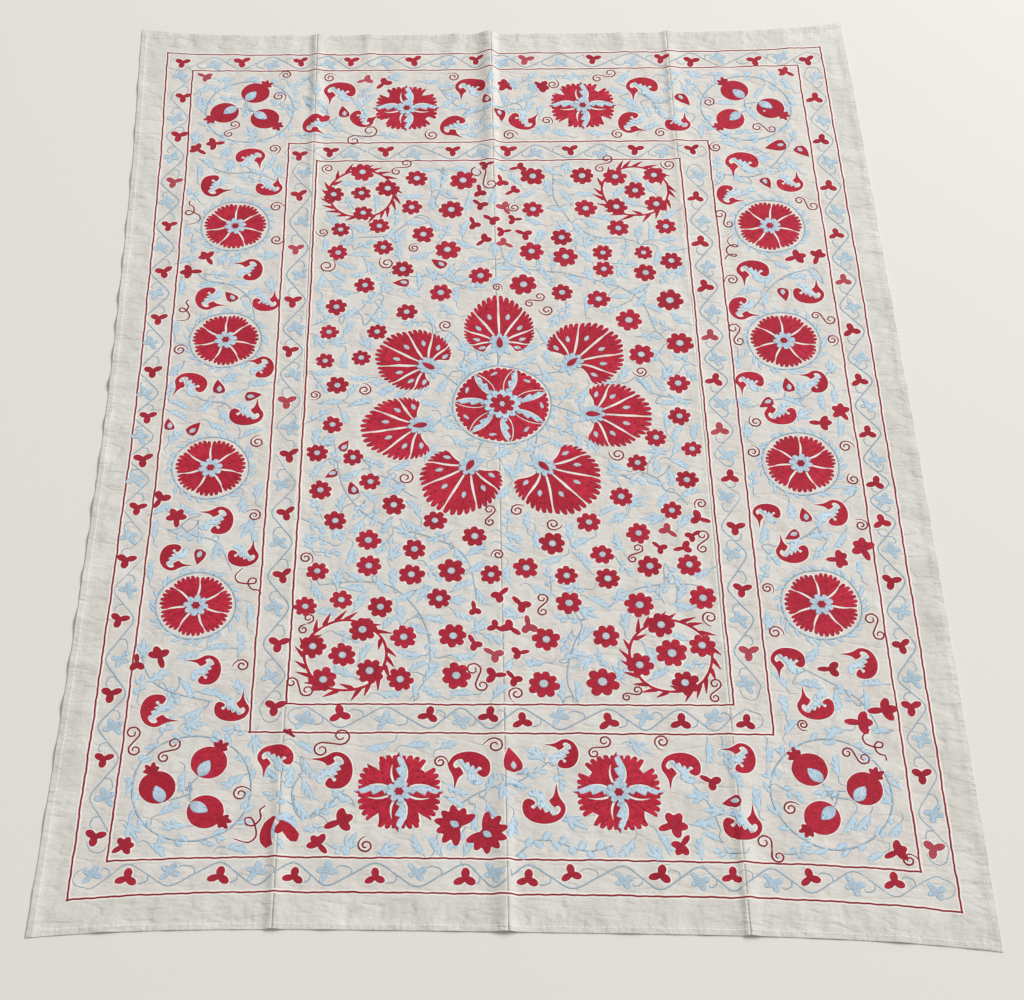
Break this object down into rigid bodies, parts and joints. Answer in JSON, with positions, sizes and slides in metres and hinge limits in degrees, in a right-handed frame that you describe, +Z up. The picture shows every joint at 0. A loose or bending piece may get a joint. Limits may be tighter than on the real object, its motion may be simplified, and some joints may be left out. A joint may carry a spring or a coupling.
{
  "type": "suzani embroidered textile",
  "caption": "Large embroidered cloth of handloom strips sewn side by side, with rosettes, flowers and scrolling vines, laid flat.",
  "frame": {"origin": "on the surface that the cloth lies on, under the middle of the cloth", "axes": "+X across the strips, +Y along the seams from the near hem to the far hem, +Z up from the surface"},
  "size_m": [1.53, 2.1566, 0.0138],
  "materials": {
    "linen": "natural handloom linen, matt"
  },
  "bodies": {
    "root": {"strip_left": "linen", "strip_middle_left": "linen", "strip_middle_right": "linen", "strip_right": "linen"}
  },
  "joints": []
}
